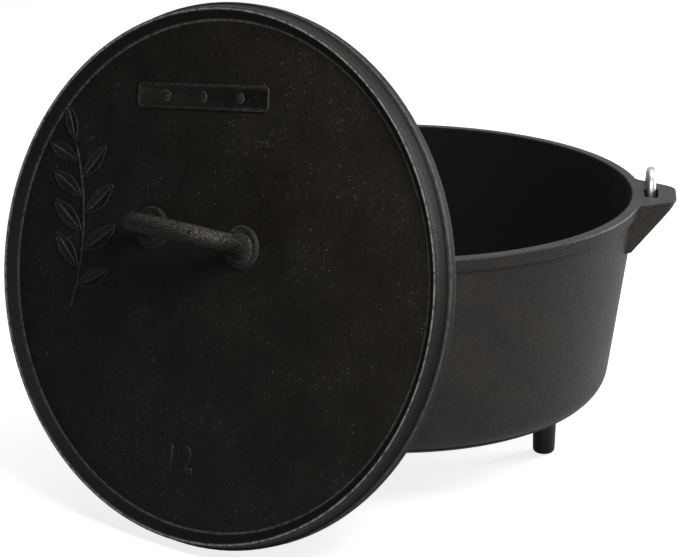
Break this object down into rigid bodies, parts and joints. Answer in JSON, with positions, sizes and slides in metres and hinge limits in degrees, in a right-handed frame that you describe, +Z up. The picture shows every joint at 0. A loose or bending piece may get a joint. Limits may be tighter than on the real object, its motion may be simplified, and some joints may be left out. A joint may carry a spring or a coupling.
{
  "type": "cast iron dutch oven",
  "caption": "round cast iron camp cooking pot on legs, with two bail ears, a hanging wire bail and a flat rimmed lid with a loop handle leaning on the pot",
  "frame": {"origin": "on the pot's vertical axis, at floor level between the three feet", "axes": "+Z up along the pot's axis, X along the line through the two ears, -Y toward the side where the lid leans, +Y toward the side where the bail hangs"},
  "size_m": [0.4202, 0.3893, 0.3184],
  "materials": {
    "pot_iron": "seasoned cast iron, fine pebbled sand casting grain, semi gloss",
    "lid_iron": "seasoned cast iron, fine pebbled sand casting grain, semi gloss",
    "bail_wire": "zinc plated steel wire, satin",
    "grip_wire": "zinc plated steel wire, close wound coil, satin"
  },
  "bodies": {
    "pot": {"pot": "pot_iron"},
    "lid": {"lid": "lid_iron"},
    "bail": {"bail": "bail_wire", "bail_grip": "grip_wire"}
  },
  "joints": [
    {"name": "lid_lift", "type": "slide", "parent": "pot", "child": "lid", "axis": [0, 0, 1], "range_m": [0, 0.25]},
    {"name": "bail_swing", "type": "hinge", "parent": "pot", "child": "bail", "pos_m": [0, 0.02063, 0.1775], "axis": [1, 0, 0], "range_deg": [0, 133.8]}
  ]
}
